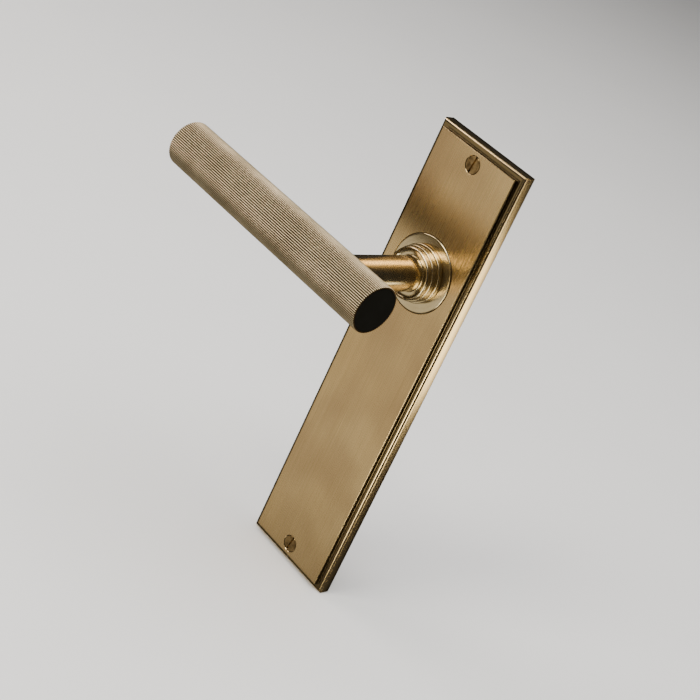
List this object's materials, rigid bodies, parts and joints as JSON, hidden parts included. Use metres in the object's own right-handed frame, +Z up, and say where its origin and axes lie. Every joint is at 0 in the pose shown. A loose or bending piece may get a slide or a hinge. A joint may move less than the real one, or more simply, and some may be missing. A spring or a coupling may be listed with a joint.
{
  "type": "lever door handle on backplate",
  "caption": "Sprung lever door handle: reeded round grip on a turned neck with a ringed collar, on a tall stepped backplate, with square spindle and wood screws.",
  "frame": {"origin": "spindle axis where it crosses the plate's back face, which lies on the door", "axes": "+Z up along the plate's height, +Y into the door along the spindle, +X to the right seen from the handle's side"},
  "size_m": [0.1225, 0.0896, 0.203],
  "materials": {
    "antique_brass_brushed": "antique brass, brushed lengthwise, lacquered",
    "antique_brass_satin": "antique brass, turned to a satin polish",
    "antique_brass_reeded": "antique brass, darker in the grooves",
    "raw_brass": "as turned",
    "black_disc": "blackened, satin",
    "aged_brass_screw": "aged brass",
    "nylon": "natural nylon",
    "zinc_steel": "zinc plated",
    "cam_steel": "sintered",
    "spring_steel": "drawn wire",
    "black_steel": "black oxide"
  },
  "bodies": {
    "plate": {"backplate": "antique_brass_brushed", "rose_disc": "antique_brass_satin", "bearing_bush": "nylon", "spring_posts": "zinc_steel", "stop_pins": "zinc_steel", "spring_cover": "zinc_steel", "cover_screws": "black_steel", "top_fixing_screw": "aged_brass_screw", "bottom_fixing_screw": "aged_brass_screw", "front_washer": "nylon", "upper_return_spring": "spring_steel", "lower_return_spring": "spring_steel"},
    "lever": {"neck": "antique_brass_satin", "neck_stud": "zinc_steel", "grip_core": "raw_brass", "grip_sleeve": "antique_brass_reeded", "long_end_disc": "black_disc", "short_end_disc": "black_disc", "spindle": "zinc_steel", "grub_screw": "black_steel", "cam_hub": "cam_steel", "shim_washer": "zinc_steel", "circlip": "black_steel"}
  },
  "joints": [
    {"name": "lever_turn", "type": "hinge", "parent": "plate", "child": "lever", "pos_m": [0, 0, 0], "axis": [0, -1, 0], "range_deg": [0, 50], "stiffness_Nm_per_rad": 1, "springref_deg": -20.05, "deforming": ["upper_return_spring", "lower_return_spring"]}
  ]
}
